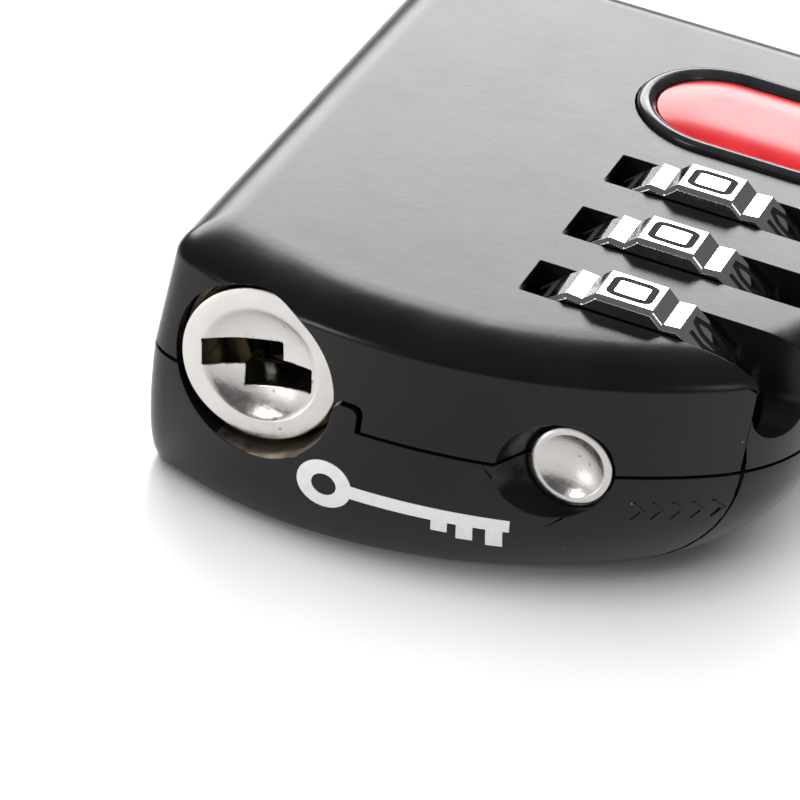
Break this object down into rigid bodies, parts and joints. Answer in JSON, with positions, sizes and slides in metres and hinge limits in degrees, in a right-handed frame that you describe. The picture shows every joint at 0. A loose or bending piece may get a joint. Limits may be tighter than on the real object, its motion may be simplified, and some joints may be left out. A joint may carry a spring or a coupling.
{
  "type": "luggage combination padlock",
  "caption": "Palm-size luggage padlock with numbered thumb dials, a key cylinder, a push-button release and a lift-out steel shackle.",
  "frame": {"origin": "under the middle of the lock's overall length and width, on the plane of the flat back that it rests on", "axes": "+X towards the side with the dials, +Y along the body from the key end to the shackle's crown, +Z out of the front face that carries the dials"},
  "size_m": [0.0312, 0.0654, 0.0146],
  "materials": {
    "cover_black": "satin black paint on die-cast zinc",
    "rivet": "dull, peened",
    "dial_chrome": "bright plating, black-filled digits",
    "nickel": "satin nickel with a grainy cast face",
    "shackle_chrome": "bright plating on hardened steel",
    "inner_steel": "plain steel, lightly oiled",
    "brass_inner": "dull machined",
    "bezel_black": "semi-gloss",
    "badge_red": "glossy domed resin"
  },
  "bodies": {
    "body": {"front_cover": "cover_black", "rear_cover": "cover_black", "cover_rivet_1": "rivet", "cover_rivet_2": "rivet", "cover_rivet_3": "rivet", "cover_rivet_4": "rivet", "detent_ball_1": "inner_steel", "detent_ball_2": "inner_steel", "detent_ball_3": "inner_steel", "detent_spring_1": "inner_steel", "detent_spring_2": "inner_steel", "detent_spring_3": "inner_steel", "button_spring": "inner_steel", "latch_spring": "inner_steel", "cylinder_sleeve": "brass_inner", "badge_bezel": "bezel_black", "badge_insert": "badge_red"},
    "first_dial": {"dial_1": "dial_chrome", "clutch_sleeve_1": "brass_inner"},
    "second_dial": {"dial_2": "dial_chrome", "clutch_sleeve_2": "brass_inner"},
    "third_dial": {"dial_3": "dial_chrome", "clutch_sleeve_3": "brass_inner"},
    "button": {"release_button": "nickel", "dial_spindle": "inner_steel"},
    "latch_slide": {"latch": "inner_steel"},
    "shackle_bow": {"shackle": "shackle_chrome", "shackle_clip": "inner_steel"},
    "key_core": {"key_plug": "nickel", "wafer_1": "brass_inner", "wafer_2": "brass_inner", "wafer_3": "brass_inner", "wafer_4": "brass_inner", "key_cam": "inner_steel", "cam_screw": "inner_steel"}
  },
  "joints": [
    {"name": "dial_1_turn", "type": "hinge", "parent": "body", "child": "first_dial", "pos_m": [0.00595, -0.02415, 0.00781], "axis": [0, 1, 0], "continuous": true},
    {"name": "dial_2_turn", "type": "hinge", "parent": "body", "child": "second_dial", "pos_m": [0.00595, -0.018, 0.00781], "axis": [0, 1, 0], "continuous": true},
    {"name": "dial_3_turn", "type": "hinge", "parent": "body", "child": "third_dial", "pos_m": [0.00595, -0.01185, 0.00781], "axis": [0, 1, 0], "continuous": true},
    {"name": "key_turn", "type": "hinge", "parent": "body", "child": "key_core", "pos_m": [-0.00935, -0.03115, 0.00869], "axis": [0, -1, 0], "range_deg": [0, 90]},
    {"name": "button_press", "type": "slide", "parent": "body", "child": "button", "axis": [0, 1, 0], "range_m": [0, 0.0012], "stiffness_N_per_m": 400, "deforming": ["button_spring"]},
    {"name": "latch_travel", "type": "slide", "parent": "body", "child": "latch_slide", "axis": [1, 0, 0], "range_m": [0, 0.0012], "deforming": ["latch_spring"]},
    {"name": "shackle_lift", "type": "slide", "parent": "body", "child": "shackle_bow", "axis": [0, 1, 0], "range_m": [0, 0.008]}
  ],
  "couplings": [
    {"joint": "latch_travel", "follows": "button_press", "ratio": 1}
  ]
}
